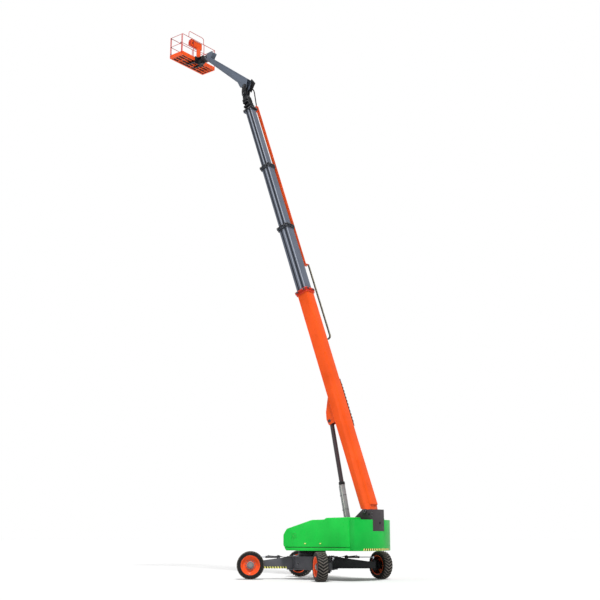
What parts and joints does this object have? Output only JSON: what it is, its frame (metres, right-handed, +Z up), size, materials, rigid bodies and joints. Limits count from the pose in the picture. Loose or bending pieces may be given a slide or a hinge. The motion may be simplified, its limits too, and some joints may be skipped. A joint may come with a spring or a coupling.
{
  "type": "telescopic boom lift",
  "caption": "Self-propelled telescopic boom lift on swing-out axle arms, with a three-stage boom, jib and turning work platform.",
  "frame": {"origin": "on the ground under the middle of the whole machine as it stands", "axes": "+X the way the boom and platform point, +Y the machine's left, +Z up"},
  "size_m": [11.7369, 4.6352, 27.4002],
  "materials": {
    "chassis_grey": "satin",
    "black_steel": "satin",
    "tyre": "matt",
    "rim_orange": "gloss",
    "body_green": "gloss",
    "weight_green": "gloss",
    "mast_grey": "satin",
    "boom_orange": "gloss",
    "section_grey": "satin",
    "rod_steel": "polished",
    "chain_plastic": "matt",
    "hose_rubber": "matt",
    "engine": "matt",
    "tank": "matt"
  },
  "bodies": {
    "chassis": {"chassis_frame": "chassis_grey", "slew_ring": "black_steel"},
    "arm_front_left": {"axle_arm_front_left": "chassis_grey"},
    "knuckle_front_left": {"knuckle_front_left": "black_steel"},
    "steer_rod_front_left": {"steer_rod_front_left": "rod_steel"},
    "wheel_front_left": {"tyre_front_left": "tyre", "rim_front_left": "rim_orange"},
    "arm_front_right": {"axle_arm_front_right": "chassis_grey"},
    "knuckle_front_right": {"knuckle_front_right": "black_steel"},
    "steer_rod_front_right": {"steer_rod_front_right": "rod_steel"},
    "wheel_front_right": {"tyre_front_right": "tyre", "rim_front_right": "rim_orange"},
    "arm_rear_left": {"axle_arm_rear_left": "chassis_grey"},
    "knuckle_rear_left": {"knuckle_rear_left": "black_steel"},
    "steer_rod_rear_left": {"steer_rod_rear_left": "rod_steel"},
    "wheel_rear_left": {"tyre_rear_left": "tyre", "rim_rear_left": "rim_orange"},
    "arm_rear_right": {"axle_arm_rear_right": "chassis_grey"},
    "knuckle_rear_right": {"knuckle_rear_right": "black_steel"},
    "steer_rod_rear_right": {"steer_rod_rear_right": "rod_steel"},
    "wheel_rear_right": {"tyre_rear_right": "tyre", "rim_rear_right": "rim_orange"},
    "turret": {"turret_frame": "mast_grey", "counterweight": "weight_green", "engine_block": "engine", "tank_block": "tank"},
    "hood_left": {"hood_left": "body_green"},
    "hood_right": {"hood_right": "body_green"},
    "boom_base": {"boom_base": "boom_orange", "energy_chain": "chain_plastic"},
    "boom_section_2": {"boom_section_2": "section_grey"},
    "boom_section_3": {"boom_section_3": "section_grey"},
    "boom_section_4": {"boom_section_4": "section_grey", "cable_trough": "boom_orange", "jib_hose": "hose_rubber"},
    "lift_barrel": {"lift_barrel": "black_steel"},
    "lift_rod": {"lift_rod": "rod_steel"},
    "jib_upright": {"jib_upright": "black_steel"},
    "jib_arm": {"jib_arm": "section_grey", "jib_barrel": "black_steel"},
    "jib_rod": {"jib_rod": "rod_steel"},
    "platform_support": {"platform_support": "black_steel"},
    "platform": {"platform_basket": "boom_orange", "platform_bracket": "black_steel", "control_box": "boom_orange"},
    "platform_gate": {"platform_gate": "boom_orange"}
  },
  "joints": [
    {"name": "arm_swing_front_left", "type": "hinge", "parent": "chassis", "child": "arm_front_left", "pos_m": [-1.756, 0.5, 0.7], "axis": [0, 0, 1], "range_deg": [-33, 0]},
    {"name": "steer_front_left", "type": "hinge", "parent": "arm_front_left", "child": "knuckle_front_left", "pos_m": [-0.386, 1.58, 0.5775], "axis": [0, 0, -1], "range_deg": [0, 80.6]},
    {"name": "steer_stroke_front_left", "type": "slide", "parent": "arm_front_left", "child": "steer_rod_front_left", "axis": [0.7853, 0.6191, 0], "range_m": [-0.1983, 0.005]},
    {"name": "wheel_front_left_spin", "type": "hinge", "parent": "knuckle_front_left", "child": "wheel_front_left", "pos_m": [-0.6174, 1.85578, 0.5775], "axis": [-0.6428, 0.766, 0], "continuous": true},
    {"name": "arm_swing_front_right", "type": "hinge", "parent": "chassis", "child": "arm_front_right", "pos_m": [-1.756, -0.5, 0.7], "axis": [0, 0, -1], "range_deg": [-33, 0]},
    {"name": "steer_front_right", "type": "hinge", "parent": "arm_front_right", "child": "knuckle_front_right", "pos_m": [-0.386, -1.58, 0.5775], "axis": [0, 0, 1], "range_deg": [-56.6, 24]},
    {"name": "steer_stroke_front_right", "type": "slide", "parent": "arm_front_right", "child": "steer_rod_front_right", "axis": [0.7853, -0.6191, 0], "range_m": [-0.0626, 0.1407]},
    {"name": "wheel_front_right_spin", "type": "hinge", "parent": "knuckle_front_right", "child": "wheel_front_right", "pos_m": [-0.28315, -1.925, 0.5775], "axis": [0.2857, -0.9583, 0], "continuous": true},
    {"name": "arm_swing_rear_left", "type": "hinge", "parent": "chassis", "child": "arm_rear_left", "pos_m": [-3.156, 0.5, 0.7], "axis": [0, 0, -1], "range_deg": [-33, 0]},
    {"name": "steer_rear_left", "type": "hinge", "parent": "arm_rear_left", "child": "knuckle_rear_left", "pos_m": [-4.526, 1.58, 0.5775], "axis": [0, 0, 1], "range_deg": [0, 80.6]},
    {"name": "steer_stroke_rear_left", "type": "slide", "parent": "arm_rear_left", "child": "steer_rod_rear_left", "axis": [-0.7853, 0.6191, 0], "range_m": [-0.1983, 0.005]},
    {"name": "wheel_rear_left_spin", "type": "hinge", "parent": "knuckle_rear_left", "child": "wheel_rear_left", "pos_m": [-4.2946, 1.85578, 0.5775], "axis": [0.6428, 0.766, 0], "continuous": true},
    {"name": "arm_swing_rear_right", "type": "hinge", "parent": "chassis", "child": "arm_rear_right", "pos_m": [-3.156, -0.5, 0.7], "axis": [0, 0, 1], "range_deg": [-33, 0]},
    {"name": "steer_rear_right", "type": "hinge", "parent": "arm_rear_right", "child": "knuckle_rear_right", "pos_m": [-4.526, -1.58, 0.5775], "axis": [0, 0, -1], "range_deg": [-56.6, 24]},
    {"name": "steer_stroke_rear_right", "type": "slide", "parent": "arm_rear_right", "child": "steer_rod_rear_right", "axis": [-0.7853, -0.6191, 0], "range_m": [-0.0626, 0.1407]},
    {"name": "wheel_rear_right_spin", "type": "hinge", "parent": "knuckle_rear_right", "child": "wheel_rear_right", "pos_m": [-4.62885, -1.925, 0.5775], "axis": [-0.2857, -0.9583, 0], "continuous": true},
    {"name": "slew", "type": "hinge", "parent": "chassis", "child": "turret", "pos_m": [-2.456, 0, 1.183], "axis": [0, 0, 1], "continuous": true},
    {"name": "hood_left_hinge", "type": "hinge", "parent": "turret", "child": "hood_left", "pos_m": [-4.156, 0.515, 2.36], "axis": [1, 0, 0], "range_deg": [0, 55]},
    {"name": "hood_right_hinge", "type": "hinge", "parent": "turret", "child": "hood_right", "pos_m": [-4.156, -0.515, 2.36], "axis": [-1, 0, 0], "range_deg": [0, 55]},
    {"name": "boom_lift", "type": "hinge", "parent": "turret", "child": "boom_base", "pos_m": [-5.478, 0, 2.75], "axis": [0, -1, 0], "range_deg": [-70.72, 7.28]},
    {"name": "section_2_slide", "type": "slide", "parent": "boom_base", "child": "boom_section_2", "axis": [0.3302, 0, 0.9439], "range_m": [-3.2, 4.76], "deforming": ["energy_chain"]},
    {"name": "section_3_slide", "type": "slide", "parent": "boom_section_2", "child": "boom_section_3", "axis": [0.3302, 0, 0.9439], "range_m": [-3.2, 4.76]},
    {"name": "section_4_slide", "type": "slide", "parent": "boom_section_3", "child": "boom_section_4", "axis": [0.3302, 0, 0.9439], "range_m": [-3.2, 4.76]},
    {"name": "lift_swing", "type": "hinge", "parent": "turret", "child": "lift_barrel", "pos_m": [-4.506, 0, 1.5], "axis": [0, -1, 0], "range_deg": [-68.1, 7.46]},
    {"name": "lift_stroke", "type": "slide", "parent": "lift_barrel", "child": "lift_rod", "axis": [0.1922, 0, 0.9813], "range_m": [-1.8287, 0.1972]},
    {"name": "jib_level", "type": "hinge", "parent": "boom_section_4", "child": "jib_upright", "pos_m": [1.64079, 0, 23.10083], "axis": [0, -1, 0], "range_deg": [-7.78, 71.22]},
    {"name": "jib_lift", "type": "hinge", "parent": "jib_upright", "child": "jib_arm", "pos_m": [1.60712, 0, 23.49824], "axis": [0, 1, 0], "range_deg": [-27, 85]},
    {"name": "platform_level", "type": "hinge", "parent": "jib_arm", "child": "platform_support", "pos_m": [4.28894, 0, 25.92826], "axis": [0, 1, 0], "range_deg": [-85.5, 27.5]},
    {"name": "platform_rotate", "type": "hinge", "parent": "platform_support", "child": "platform", "pos_m": [4.65894, 0, 25.92826], "axis": [0, 0, 1], "range_deg": [-90, 90]},
    {"name": "gate_hinge", "type": "hinge", "parent": "platform", "child": "platform_gate", "pos_m": [5.78194, 1.204, 26.52826], "axis": [0, 0, 1], "range_deg": [0, 80]},
    {"name": "jib_stroke", "type": "slide", "parent": "jib_arm", "child": "jib_rod", "axis": [-0.4053, 0, -0.9142], "range_m": [-0.2772, 0.0915]}
  ],
  "couplings": [
    {"joint": "steer_stroke_front_left", "follows": "steer_front_left", "m_per_rad": -0.1374},
    {"joint": "steer_stroke_front_right", "follows": "steer_front_right", "m_per_rad": -0.1374},
    {"joint": "steer_stroke_rear_left", "follows": "steer_rear_left", "m_per_rad": -0.1374},
    {"joint": "steer_stroke_rear_right", "follows": "steer_rear_right", "m_per_rad": -0.1374},
    {"joint": "section_3_slide", "follows": "section_2_slide", "ratio": 1},
    {"joint": "section_4_slide", "follows": "section_2_slide", "ratio": 1},
    {"joint": "lift_swing", "follows": "boom_lift", "ratio": 0.9559},
    {"joint": "lift_stroke", "follows": "boom_lift", "m_per_rad": 1.4735},
    {"joint": "jib_level", "follows": "boom_lift", "ratio": -1},
    {"joint": "platform_level", "follows": "jib_lift", "ratio": -1},
    {"joint": "jib_stroke", "follows": "jib_lift", "m_per_rad": -0.1835}
  ]
}
